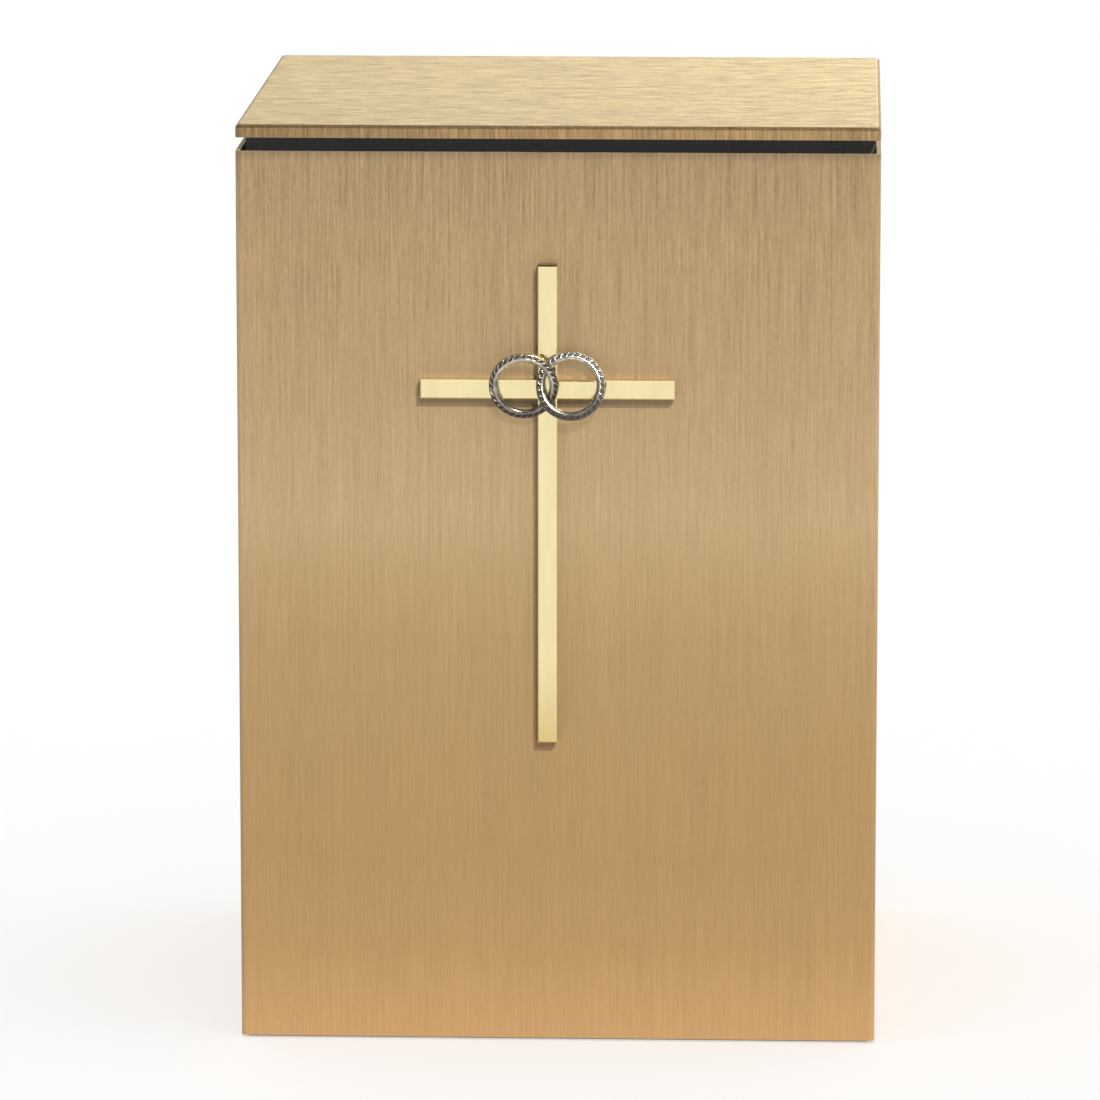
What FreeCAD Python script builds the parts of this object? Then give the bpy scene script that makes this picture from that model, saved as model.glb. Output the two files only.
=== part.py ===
import FreeCAD, Part
import os
import re
import Sketcher

# A counter-top donation box of folded bronze sheet.  Money goes in through the open gap between the
# body and the lid, falls down a throat behind the front wall, and is taken out through a locked rear door.
# Millimetres.  Origin: centre of the base pad's underside.  The front faces -Y, and +Z is up.

# ---------------------------------------------------------------- driving dimensions

DRIVING = {
    # casing
    "width": 216.0, "depth": 204.0, "height": 314.0, "sheet_thick": 1.5, "corner_bend": 1.6,
    "lid_tall": 4.5, "lid_gap": 4.6, "flange": 12.0,
    # base
    "pad_thick": 0.8, "pad_inset": 2.5, "bolt_across": 150.0, "bolt_deep": 140.0, "bolt_hole_rad": 2.75,
    # collar and throat behind the gap
    "collar_drop": 26.0, "collar_flange": 15.0, "throat_deep": 24.5, "throat_drop": 46.0, "throat_lip": 12.0,
    "throat_shelf": 14.0, "stud_inset": 9.0, "stud_rise": 7.0,
    # weld studs and nuts
    "stud_rad": 2.0, "stud_long": 9.0, "nut_across": 7.0, "nut_tall": 3.2,
    # rear door
    "door_across": 155.2, "door_tall": 214.4, "door_low": 40.8, "door_space": 0.8, "door_flange": 8.0,
    "jamb_deep": 15.5,
    # hinges
    "hinge_tall": 40.0, "hinge_inset": 34.0, "leaf_wide": 21.0, "leaf_thick": 1.2, "knuckle_rad": 2.5,
    "hinge_pin_rad": 1.25, "hinge_play": 0.05, "knuckle_space": 0.2, "hinge_lift": 0.3, "rivet_rad": 1.5,
    "rivet_out": 12.5, "rivet_inset": 8.0, "rivet_head_rad": 2.6, "rivet_head_tall": 1.0,
    "rivet_tail_rad": 2.3, "pin_tip_rad": 2.0, "pin_tip_tall": 0.8,
    # cam lock
    "lock_side": 58.0, "lock_head_rad": 11.0, "lock_head_tall": 2.0, "barrel_rad": 9.4, "barrel_flats": 16.0,
    "plug_rad": 6.0, "plug_play": 0.06, "plug_proud": 0.3, "lock_nut_across": 24.0, "lock_nut_tall": 3.0,
    "stem_across": 6.0, "cam_long": 28.0, "cam_wide": 13.0, "cam_thick": 1.5, "cam_space": 0.6,
    "cam_clear": 0.3, "cam_corner": 4.0, "lock_play": 0.1, "cam_screw_rad": 1.6, "cam_screw_in": 2.5,
    "cam_screw_head_rad": 4.4, "cam_screw_head_tall": 2.4, "cam_screw_slot": 1.0,
    # key
    "keyway_wide": 2.4, "keyway_tall": 8.4, "keyway_deep": 15.0, "blade_wide": 2.0, "blade_tall": 7.8,
    "blade_long": 14.0, "key_clear": 0.3, "key_neck": 3.0, "shoulder_tall": 9.6, "bow_rad": 11.0,
    "bow_hole_rad": 3.5, "notch_wide": 1.2, "notch_tall": 1.4,
    # cross
    "cross_side": -3.2, "cross_low": 104.6, "cross_tall": 163.0, "crossbar_up": 225.5, "crossbar_long": 85.3,
    "bar_wide": 6.4, "bar_thick": 4.8, "bar_edge": 0.4, "cross_stud_rad": 1.5, "cross_stud_long": 7.0,
    "cross_nut_across": 5.5, "cross_nut_tall": 2.4, "cross_stud_top": 16.0, "cross_stud_low": 24.0,
    "cross_stud_side": 28.5,
    # wedding bands
    "band_rad": 11.65, "band_bore_rad": 9.0, "band_wide": 2.0, "band_tilt": 14.0, "band_lift": 3.65,
    "band_left": -7.85, "band_right": 7.95, "band_up": 1.85, "band_dome": 0.9, "band_comfort": 0.4,
    "band_post_rad": 0.9, "band_post_in": 1.0,
}

doc = FreeCAD.newDocument("donation_box")
sheet = doc.addObject("Spreadsheet::Sheet", "Sizes")
for row, (alias, number) in enumerate(DRIVING.items(), start=1):
    sheet.set("A%d" % row, alias)
    sheet.set("B%d" % row, "%g" % number)
    sheet.setAlias("B%d" % row, alias)
doc.recompute()


def size(text):
    """The same sum as FreeCAD expression text, with every alias in it taken from the spreadsheet."""
    return re.sub("[a-z_]+", lambda word: "Sizes." + word[0] if word[0] in DRIVING else word[0], text)


def number(text):
    """The value of such a sum, in millimetres or degrees."""
    value = sheet.evalExpression(size(text))
    return float(getattr(value, "Value", value))


# ---------------------------------------------------------------- levels and planes, as sums of aliases

# outside faces of the box, inside faces of its sheet, and the faces one sheet further in
LEFT, RIGHT = "( -width / 2 )", "( width / 2 )"
FRONT, REAR = "( -depth / 2 )", "( depth / 2 )"
LEFT_IN, RIGHT_IN = "( sheet_thick - width / 2 )", "( width / 2 - sheet_thick )"
FRONT_IN, REAR_IN = "( sheet_thick - depth / 2 )", "( depth / 2 - sheet_thick )"
LEFT_CORE, RIGHT_CORE = "( 2 * sheet_thick - width / 2 )", "( width / 2 - 2 * sheet_thick )"
FRONT_CORE, REAR_CORE = "( 2 * sheet_thick - depth / 2 )", "( depth / 2 - 2 * sheet_thick )"
FLOOR, FLOOR_IN = "pad_thick", "( pad_thick + sheet_thick )"
RIM = "( height - lid_tall - lid_gap )"
LID_LOW, LID_UNDER = "( height - lid_tall )", "( height - sheet_thick )"
COLLAR_LOW = "( height - sheet_thick - collar_drop )"
THROAT_FRONT = "( sheet_thick + throat_deep - depth / 2 )"
THROAT_REAR = "( 2 * sheet_thick + throat_deep - depth / 2 )"
# the rear door, the opening around it, and the line of its hinges
DOOR_LEFT, DOOR_RIGHT = "( -door_across / 2 )", "( door_across / 2 )"
DOOR_TOP = "( door_low + door_tall )"
DOOR_MID = "( door_low + door_tall / 2 )"
JAMB_LEFT, JAMB_RIGHT = "( -door_across / 2 - door_space )", "( door_across / 2 + door_space )"
JAMB_LOW, JAMB_TOP = "( door_low - door_space )", "( door_low + door_tall + door_space )"
HINGE_SIDE = "( -door_across / 2 - door_space / 2 )"
HINGE_BACK = "( depth / 2 + knuckle_rad + hinge_lift )"
CAM_REAR = "( depth / 2 - jamb_deep - cam_space )"
CAM_FRONT = "( depth / 2 - jamb_deep - cam_space - cam_thick )"
PLUG_FACE = "( depth / 2 + lock_head_tall + plug_proud )"
CROSS_FACE = "( -depth / 2 - bar_thick )"
BAND_UP = "( crossbar_up + band_up )"
BAND_MID = "( -depth / 2 - bar_thick - band_lift )"

NODES = []


def keep(shape_object, label):
    """Names a finished sub-part, which is then written to a file of that name."""
    shape_object.Label = label
    NODES.append(shape_object)
    return shape_object


# ---------------------------------------------------------------- sketches and features


def new_body(name):
    return doc.addObject("PartDesign::Body", name)


def new_sketch(body, role, offset):
    """A sketch on one of the body's origin planes, moved along that plane's normal by offset."""
    plane = next(f for f in body.Origin.OriginFeatures if f.Role == role)
    sketch = body.newObject("Sketcher::SketchObject", "Sketch")
    sketch.AttachmentSupport = [(plane, "")]
    sketch.MapMode = "FlatFace"
    sketch.setExpression("AttachmentOffset.Base.z", size(offset))
    return sketch


def plan_sketch(body, z):
    """A sketch of x and y at this height, facing up."""
    return new_sketch(body, "XY_Plane", z)


def front_sketch(body, y):
    """A sketch of x and z at this depth, facing the front: a pad grows to the front, a pocket to the rear."""
    return new_sketch(body, "XZ_Plane", "-( %s )" % y)


def side_sketch(body, x):
    """A sketch of y and z at this place across, facing right."""
    return new_sketch(body, "YZ_Plane", x)


def hold_point(sketch, geometry, point, across, along):
    """Ties one point of the geometry to the sketch's origin by two distances."""
    for kind, text in (("DistanceX", across), ("DistanceY", along)):
        held = sketch.addConstraint(Sketcher.Constraint(kind, -1, 1, geometry, point, number(text)))
        sketch.setExpression("Constraints[%d]" % held, size(text))


def outline(sketch, corners):
    """A closed outline of straight lines, each corner held at its two sums of aliases."""
    points = [FreeCAD.Vector(number(across), number(along), 0) for across, along in corners]
    first = sketch.GeometryCount
    for start, end in zip(points, points[1:] + points[:1]):
        sketch.addGeometry(Part.LineSegment(start, end), False)
    for index, (across, along) in enumerate(corners):
        line = first + index
        following = first + (index + 1) % len(corners)
        sketch.addConstraint(Sketcher.Constraint("Coincident", line, 2, following, 1))
        hold_point(sketch, line, 1, across, along)


def rectangle(sketch, left, low, right, high):
    outline(sketch, [(left, low), (right, low), (right, high), (left, high)])


def circle(sketch, across, along, radius):
    centre = FreeCAD.Vector(number(across), number(along), 0)
    added = sketch.addGeometry(Part.Circle(centre, FreeCAD.Vector(0, 0, 1), number(radius)), False)
    held = sketch.addConstraint(Sketcher.Constraint("Radius", added, number(radius)))
    sketch.setExpression("Constraints[%d]" % held, size(radius))
    hold_point(sketch, added, 3, across, along)


def pad(body, sketch, length, reverse=False):
    feature = body.newObject("PartDesign::Pad", "Pad")
    feature.Profile = sketch
    feature.setExpression("Length", size(length))
    feature.Reversed = reverse
    doc.recompute()
    return feature


def pocket(body, sketch, length, reverse=False):
    """Cuts the sketch's outline away, and stops with an error when nothing was cut."""
    before = body.Shape.Volume
    feature = body.newObject("PartDesign::Pocket", "Pocket")
    feature.Profile = sketch
    feature.setExpression("Length", size(length))
    feature.Reversed = reverse
    doc.recompute()
    if body.Shape.Volume > before - 0.001:
        raise RuntimeError("%s: a pocket cut nothing" % body.Name)
    return feature


def fillet(body, edge_test, radius):
    """Rounds the edges of the body's newest feature that edge_test picks."""
    base = body.Tip
    names = ["Edge%d" % (i + 1) for i, edge in enumerate(base.Shape.Edges) if edge_test(edge)]
    if not names:
        raise RuntimeError("%s: no edge to round" % body.Name)
    feature = body.newObject("PartDesign::Fillet", "Fillet")
    feature.Base = (base, names)
    feature.setExpression("Radius", size(radius))
    doc.recompute()
    return feature


def near(value, target):
    return abs(value - target) < 0.01


def upright_at(x, y):
    """Picks vertical edges at this place in plan."""

    def test(edge):
        box = edge.BoundBox
        return near(box.XLength, 0) and near(box.YLength, 0) and near(box.XMin, x) and near(box.YMin, y)

    return test


def circle_of(radius):
    """Picks round edges of this radius."""

    def test(edge):
        return edge.Curve.TypeId == "Part::GeomCircle" and near(edge.Curve.Radius, number(radius))

    return test


def any_of(*tests):
    return lambda edge: any(test(edge) for test in tests)


# ---------------------------------------------------------------- solids from Part primitives

# turns that lay an upright primitive along an axis
ALONG_Z = FreeCAD.Rotation()
AGAINST_Z = FreeCAD.Rotation(FreeCAD.Vector(1, 0, 0), 180)
ALONG_X = FreeCAD.Rotation(FreeCAD.Vector(0, 1, 0), 90)
AGAINST_X = FreeCAD.Rotation(FreeCAD.Vector(0, 1, 0), -90)
ALONG_Y = FreeCAD.Rotation(FreeCAD.Vector(1, 0, 0), -90)
AGAINST_Y = FreeCAD.Rotation(FreeCAD.Vector(1, 0, 0), 90)


def place(shape_object, x, y, z, turn=ALONG_Z):
    """Turns an object, and puts it at x, y, z, each a sum of aliases."""
    shape_object.Placement = FreeCAD.Placement(FreeCAD.Vector(), turn)
    for name, text in (("x", x), ("y", y), ("z", z)):
        shape_object.setExpression("Placement.Base.%s" % name, size(text))
    return shape_object


def cylinder(radius, length, x, y, z, turn=ALONG_Z):
    made = doc.addObject("Part::Cylinder", "Cylinder")
    made.setExpression("Radius", size(radius))
    made.setExpression("Height", size(length))
    return place(made, x, y, z, turn)


def cone(start_radius, end_radius, length, x, y, z, turn=ALONG_Z):
    made = doc.addObject("Part::Cone", "Cone")
    made.setExpression("Radius1", size(start_radius))
    made.setExpression("Radius2", size(end_radius))
    made.setExpression("Height", size(length))
    return place(made, x, y, z, turn)


def block(length, width, height, x, y, z):
    """A box with its lowest corner at x, y, z."""
    made = doc.addObject("Part::Box", "Box")
    made.setExpression("Length", size(length))
    made.setExpression("Width", size(width))
    made.setExpression("Height", size(height))
    return place(made, x, y, z)


def hexagon(across_flats, length, x, y, z, turn=ALONG_Z):
    made = doc.addObject("Part::Prism", "Prism")
    made.Polygon = 6
    made.setExpression("Circumradius", size(across_flats + " / sqrt(3)"))
    made.setExpression("Height", size(length))
    return place(made, x, y, z, turn)


def cut(base, tool):
    made = doc.addObject("Part::Cut", "Cut")
    made.Base = base
    made.Tool = tool
    return made


def common(base, tool):
    made = doc.addObject("Part::Common", "Common")
    made.Base = base
    made.Tool = tool
    return made


def fuse(pieces):
    made = doc.addObject("Part::MultiFuse", "Fuse")
    made.Shapes = pieces
    return made


def group(pieces):
    """Identical separate solids kept together as one compound."""
    made = doc.addObject("Part::Compound", "Group")
    made.Links = pieces
    return made


# ---------------------------------------------------------------- casing


def make_body_shell():
    """Front wall and both side walls, folded from one sheet into a U."""
    body = new_body("BodyShell")
    sketch = plan_sketch(body, FLOOR)
    outline(sketch, [
        (LEFT, REAR), (LEFT, FRONT), (RIGHT, FRONT), (RIGHT, REAR),
        (RIGHT_IN, REAR), (RIGHT_IN, FRONT_IN), (LEFT_IN, FRONT_IN), (LEFT_IN, REAR),
    ])
    pad(body, sketch, RIM + " - pad_thick")
    folds = [upright_at(number(x), number(FRONT)) for x in (LEFT, RIGHT)]
    fillet(body, any_of(*folds), "corner_bend")
    holes = front_sketch(body, FRONT)
    for across, up in CROSS_STUD_PLACES:
        circle(holes, across, up, "cross_stud_rad")
    pocket(body, holes, "sheet_thick")
    return keep(body, "body_shell")


def make_back_frame():
    """Rear panel between the side walls: an opening for the door with a jamb folded inwards around it."""
    body = new_body("BackFrame")
    opening = (JAMB_LEFT, JAMB_LOW, JAMB_RIGHT, JAMB_TOP)
    panel = front_sketch(body, REAR)
    rectangle(panel, LEFT_IN, FLOOR, RIGHT_IN, RIM)
    rectangle(panel, *opening)
    pad(body, panel, "sheet_thick")
    jamb = front_sketch(body, REAR)
    rectangle(jamb, JAMB_LEFT + " - sheet_thick", JAMB_LOW + " - sheet_thick",
              JAMB_RIGHT + " + sheet_thick", JAMB_TOP + " + sheet_thick")
    rectangle(jamb, *opening)
    pad(body, jamb, "jamb_deep")
    for left, right in ((LEFT_IN, LEFT_CORE), (RIGHT_CORE, RIGHT_IN)):
        edge_flange = front_sketch(body, REAR)
        rectangle(edge_flange, left, "flange + 2 * sheet_thick", right, COLLAR_LOW + " - sheet_thick")
        pad(body, edge_flange, "flange")
    holes = front_sketch(body, REAR)
    for up in RIVET_LEVELS:
        circle(holes, HINGE_SIDE + " - rivet_out", up, "rivet_rad")
    pocket(body, holes, "sheet_thick", reverse=True)
    return keep(body, "back_frame")


def make_base_tray():
    """Bottom pan with its flanges turned up inside the walls, and the four holes that bolt it down."""
    body = new_body("BaseTray")
    floor = plan_sketch(body, FLOOR)
    rectangle(floor, LEFT_IN, FRONT_IN, RIGHT_IN, REAR_IN)
    pad(body, floor, "flange")
    hollow = plan_sketch(body, FLOOR_IN)
    rectangle(hollow, LEFT_CORE, FRONT_CORE, RIGHT_CORE, REAR_CORE)
    pocket(body, hollow, "flange", reverse=True)
    holes = plan_sketch(body, FLOOR)
    bolt_holes(holes)
    pocket(body, holes, "sheet_thick", reverse=True)
    return keep(body, "base_tray")


def bolt_holes(sketch):
    for across in ("bolt_across / 2", "-bolt_across / 2"):
        for along in ("bolt_deep / 2", "-bolt_deep / 2"):
            circle(sketch, across, along, "bolt_hole_rad")


def make_base_pad():
    """Felt sheet glued under the tray, a little smaller than the box."""
    body = new_body("BasePad")
    sketch = plan_sketch(body, "0")
    rectangle(sketch, LEFT + " + pad_inset", FRONT + " + pad_inset",
              RIGHT + " - pad_inset", REAR + " - pad_inset")
    bolt_holes(sketch)
    pad(body, sketch, "pad_thick")
    return keep(body, "base_pad")


def make_lid_pan():
    """Lid folded down on all four edges."""
    body = new_body("LidPan")
    sketch = plan_sketch(body, LID_LOW)
    rectangle(sketch, LEFT, FRONT, RIGHT, REAR)
    pad(body, sketch, "lid_tall")
    top = number("height")

    def rounded(edge):
        box = edge.BoundBox
        upright = near(box.XLength, 0) and near(box.YLength, 0)
        return upright or (near(box.ZMin, top) and near(box.ZMax, top))

    fillet(body, rounded, "corner_bend")
    hollow = plan_sketch(body, LID_LOW)
    rectangle(hollow, LEFT_IN, FRONT_IN, RIGHT_IN, REAR_IN)
    pocket(body, hollow, "lid_tall - sheet_thick", reverse=True)
    return keep(body, "lid_pan")


# ---------------------------------------------------------------- collar and throat

# the studs of the lid: six through the collar's flange, then two through the throat plate's shelf
FLANGE_STUDS = [
    (side, along)
    for side in (LEFT_IN + " + stud_inset", RIGHT_IN + " - stud_inset")
    for along in ("-depth / 4", "depth / 8")
] + [(across, REAR_IN + " - stud_inset") for across in ("-width / 4", "width / 4")]
SHELF_STUDS = [(across, THROAT_REAR + " + throat_shelf / 2") for across in ("-width / 4", "width / 4")]
COLLAR_STUD_LEVEL = "( " + COLLAR_LOW + " + stud_rise )"
COLLAR_SIDE_STUDS = ("-depth / 4", "depth / 4")
COLLAR_REAR_STUDS = ("-width / 3", "width / 3")


def make_inner_collar():
    """Black U-shaped collar that carries the lid: side and rear walls with a flange turned in at the top."""
    body = new_body("InnerCollar")
    walls = plan_sketch(body, COLLAR_LOW)
    outline(walls, [
        (LEFT_IN, THROAT_FRONT), (LEFT_IN, REAR_IN), (RIGHT_IN, REAR_IN), (RIGHT_IN, THROAT_FRONT),
        (RIGHT_CORE, THROAT_FRONT), (RIGHT_CORE, REAR_CORE),
        (LEFT_CORE, REAR_CORE), (LEFT_CORE, THROAT_FRONT),
    ])
    pad(body, walls, "collar_drop")
    flange_left, flange_right = LEFT_IN + " + collar_flange", RIGHT_IN + " - collar_flange"
    flange_front, flange_rear = THROAT_REAR + " + throat_shelf + sheet_thick", REAR_IN + " - collar_flange"
    top = plan_sketch(body, LID_UNDER)
    outline(top, [
        (LEFT_IN, flange_front), (LEFT_IN, REAR_IN), (RIGHT_IN, REAR_IN), (RIGHT_IN, flange_front),
        (flange_right, flange_front), (flange_right, flange_rear),
        (flange_left, flange_rear), (flange_left, flange_front),
    ])
    pad(body, top, "sheet_thick", reverse=True)
    flange_holes = plan_sketch(body, LID_UNDER)
    for across, along in FLANGE_STUDS:
        circle(flange_holes, across, along, "stud_rad")
    pocket(body, flange_holes, "sheet_thick")
    side_holes = side_sketch(body, LEFT)
    for along in COLLAR_SIDE_STUDS:
        circle(side_holes, along, COLLAR_STUD_LEVEL, "stud_rad")
    pocket(body, side_holes, "width", reverse=True)
    rear_holes = front_sketch(body, REAR)
    for across in COLLAR_REAR_STUDS:
        circle(rear_holes, across, COLLAR_STUD_LEVEL, "stud_rad")
    pocket(body, rear_holes, "3 * sheet_thick", reverse=True)
    return keep(body, "inner_collar")


def make_throat_plate():
    """Black bent plate behind the gap: a shelf under the lid, a wall, and a lip that slopes to the front."""
    body = new_body("ThroatPlate")
    profile = side_sketch(body, LEFT_CORE)
    shelf_rear = THROAT_REAR + " + throat_shelf"
    shelf_under = LID_UNDER + " - sheet_thick"
    bend = "( height - sheet_thick - throat_drop )"
    lip_front, lip_low = THROAT_FRONT + " - throat_lip", bend + " - throat_lip"
    outline(profile, [
        (shelf_rear, LID_UNDER), (THROAT_FRONT, LID_UNDER), (THROAT_FRONT, bend), (lip_front, lip_low),
        (lip_front + " + sheet_thick * sin(45)", lip_low + " - sheet_thick * sin(45)"),
        (THROAT_REAR, bend + " - sheet_thick * tan(22.5)"),
        (THROAT_REAR, shelf_under), (shelf_rear, shelf_under),
    ])
    pad(body, profile, "width - 4 * sheet_thick")
    fold_y, fold_z = number(THROAT_FRONT), number(LID_UNDER)

    def top_fold(edge):
        box = edge.BoundBox
        along_x = near(box.YLength, 0) and near(box.ZLength, 0)
        return along_x and near(box.YMin, fold_y) and near(box.ZMin, fold_z)

    fillet(body, top_fold, "sheet_thick")
    holes = plan_sketch(body, LID_UNDER)
    for across, along in SHELF_STUDS:
        circle(holes, across, along, "stud_rad")
    pocket(body, holes, "sheet_thick")
    return keep(body, "throat_plate")


def stud_and_nut(x, y, z, turn, clamped):
    """A weld stud that grows out of x, y, z along turn, and its nut, seated past the clamped thickness."""
    stud = cylinder("stud_rad", "stud_long", x, y, z, turn)
    step = turn.multVec(FreeCAD.Vector(0, 0, 1))
    seat = ["%s + %g * %s" % (start, along, clamped) for start, along in zip((x, y, z), step)]
    nut = cut(hexagon("nut_across", "nut_tall", *seat, turn), cylinder("stud_rad", "nut_tall", *seat, turn))
    return stud, nut


def keep_studs_and_nuts(name, pairs):
    studs, nuts = zip(*pairs)
    keep(group(list(studs)), name + "_studs")
    keep(group(list(nuts)), name + "_nuts")


def make_lid_fixings():
    """Studs down from the lid through the collar's flange and the throat plate's shelf, and their nuts."""
    places = FLANGE_STUDS + SHELF_STUDS
    keep_studs_and_nuts("lid", [stud_and_nut(x, y, LID_UNDER, AGAINST_Z, "sheet_thick") for x, y in places])


def make_collar_fixings():
    """Studs in from the side and rear walls through the collar, and their nuts."""
    places = [(LEFT_IN, along, ALONG_X) for along in COLLAR_SIDE_STUDS]
    places += [(RIGHT_IN, along, AGAINST_X) for along in COLLAR_SIDE_STUDS]
    places += [(across, REAR_IN, AGAINST_Y) for across in COLLAR_REAR_STUDS]
    keep_studs_and_nuts(
        "collar", [stud_and_nut(x, y, COLLAR_STUD_LEVEL, turn, "sheet_thick") for x, y, turn in places])


# ---------------------------------------------------------------- cross and wedding bands

CROSS_STUD_PLACES = [
    ("cross_side", "( cross_low + cross_tall - cross_stud_top )"),
    ("cross_side", "( cross_low + cross_stud_low )"),
    ("( cross_side - cross_stud_side )", "crossbar_up"),
    ("( cross_side + cross_stud_side )", "crossbar_up"),
]
CROSS_STUD_FOOT = "( " + CROSS_FACE + " + bar_thick / 2 )"
BAND_MIDDLE_RAD = "( band_rad + band_bore_rad ) / 2"
BAND_POST_SIDES = {
    "ring_left": "( cross_side + band_left - " + BAND_MIDDLE_RAD + " )",
    "ring_right": "( cross_side + band_right + " + BAND_MIDDLE_RAD + " )",
}


def make_cross():
    """Latin cross cut from flat brass bar, its face edges eased, with four blind holes for its studs."""
    body = new_body("Cross")
    half = "bar_wide / 2"
    sketch = front_sketch(body, FRONT)
    left, right = "cross_side - " + half, "cross_side + " + half
    arm_left, arm_right = "cross_side - crossbar_long / 2", "cross_side + crossbar_long / 2"
    arm_low, arm_high = "crossbar_up - " + half, "crossbar_up + " + half
    outline(sketch, [
        (left, "cross_low"), (right, "cross_low"),
        (right, arm_low), (arm_right, arm_low), (arm_right, arm_high), (right, arm_high),
        (right, "cross_low + cross_tall"), (left, "cross_low + cross_tall"),
        (left, arm_high), (arm_left, arm_high), (arm_left, arm_low), (left, arm_low),
    ])
    solid = pad(body, sketch, "bar_thick")
    face = number(CROSS_FACE)
    eased = [
        "Edge%d" % (i + 1) for i, edge in enumerate(body.Tip.Shape.Edges)
        if near(edge.BoundBox.YMin, face) and near(edge.BoundBox.YMax, face)
    ]
    chamfer = body.newObject("PartDesign::Chamfer", "Chamfer")
    chamfer.Base = (solid, eased)
    chamfer.setExpression("Size", size("bar_edge"))
    doc.recompute()
    holes = front_sketch(body, FRONT)
    for across, up in CROSS_STUD_PLACES:
        circle(holes, across, up, "cross_stud_rad")
    pocket(body, holes, "bar_thick / 2", reverse=True)
    posts = fuse([band_post(side) for side in BAND_POST_SIDES.values()])
    return keep(cut(body, posts), "cross")


def band_post(side):
    """A short post from inside the crossbar to inside a band."""
    length = "band_lift - band_wide / 2 + 2 * band_post_in"
    return cylinder("band_post_rad", length, side, CROSS_FACE + " + band_post_in", "crossbar_up", AGAINST_Y)


def make_cross_fixings():
    """Studs from the blind holes in the cross through the front wall, and their nuts inside the box."""
    studs = [cylinder("cross_stud_rad", "cross_stud_long", across, CROSS_STUD_FOOT, up, ALONG_Y)
             for across, up in CROSS_STUD_PLACES]
    keep(group(studs), "cross_studs")
    nuts = []
    for across, up in CROSS_STUD_PLACES:
        nuts.append(cut(hexagon("cross_nut_across", "cross_nut_tall", across, FRONT_IN, up, ALONG_Y),
                        cylinder("cross_stud_rad", "cross_nut_tall", across, FRONT_IN, up, ALONG_Y)))
    keep(group(nuts), "cross_nuts")


def make_band(label, side, tilt):
    """A wedding band with a domed outside, leaning about X by tilt so that it can pass through the other."""
    body = new_body("Band")
    sketch = front_sketch(body, "band_wide / 2")
    circle(sketch, "0", "0", "band_rad")
    circle(sketch, "0", "0", "band_bore_rad")
    pad(body, sketch, "band_wide")
    fillet(body, circle_of("band_rad"), "band_dome")
    fillet(body, circle_of("band_bore_rad"), "band_comfort")
    turn = FreeCAD.Rotation(FreeCAD.Vector(1, 0, 0), tilt)
    place(body, "cross_side + " + side, BAND_MID, BAND_UP, turn)
    return keep(cut(body, band_post(BAND_POST_SIDES[label])), label)


def make_bands():
    make_band("ring_left", "band_left", number("band_tilt"))
    make_band("ring_right", "band_right", -number("band_tilt"))
    keep(group([band_post(side) for side in BAND_POST_SIDES.values()]), "ring_posts")


# ---------------------------------------------------------------- rear door and hinges

HINGE_LOWS = {
    "lower": "( door_low + hinge_inset )",
    "upper": "( door_low + door_tall - hinge_inset - hinge_tall )",
}
RIVET_STEPS = ("rivet_inset", "hinge_tall - rivet_inset")
RIVET_LEVELS = ["%s + %s" % (low, step) for low in HINGE_LOWS.values() for step in RIVET_STEPS]
KNUCKLES = 5
LEAF_START = "( knuckle_rad + hinge_lift )"


def lock_section(play, length, y):
    """A round bar with two flats, along -Y from y at the lock's place: the barrel's shape, or its hole."""
    flats = "( barrel_flats + 2 * %s )" % play
    reach = "( barrel_rad + %s )" % play
    bar = cylinder(reach, length, "lock_side", y, DOOR_MID, AGAINST_Y)
    slab_low = ("lock_side - %s / 2" % flats, "%s - ( %s )" % (y, length), "%s - %s" % (DOOR_MID, reach))
    slab = block(flats, length, "2 * " + reach, *slab_low)
    return common(bar, slab)


def make_access_door():
    """Door pan set flush in the rear opening, with holes for the lock and the hinge rivets."""
    body = new_body("AccessDoor")
    panel = front_sketch(body, REAR)
    rectangle(panel, DOOR_LEFT, "door_low", DOOR_RIGHT, DOOR_TOP)
    pad(body, panel, "door_flange")
    hollow = front_sketch(body, "depth / 2 - door_flange")
    rectangle(hollow, DOOR_LEFT + " + sheet_thick", "door_low + sheet_thick",
              DOOR_RIGHT + " - sheet_thick", DOOR_TOP + " - sheet_thick")
    pocket(body, hollow, "door_flange - sheet_thick")
    holes = front_sketch(body, REAR)
    for up in RIVET_LEVELS:
        circle(holes, HINGE_SIDE + " + rivet_out", up, "rivet_rad")
    pocket(body, holes, "sheet_thick", reverse=True)
    lock_hole = lock_section("lock_play", "3 * sheet_thick", REAR + " + sheet_thick")
    return keep(cut(body, lock_hole), "access_door")


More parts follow.
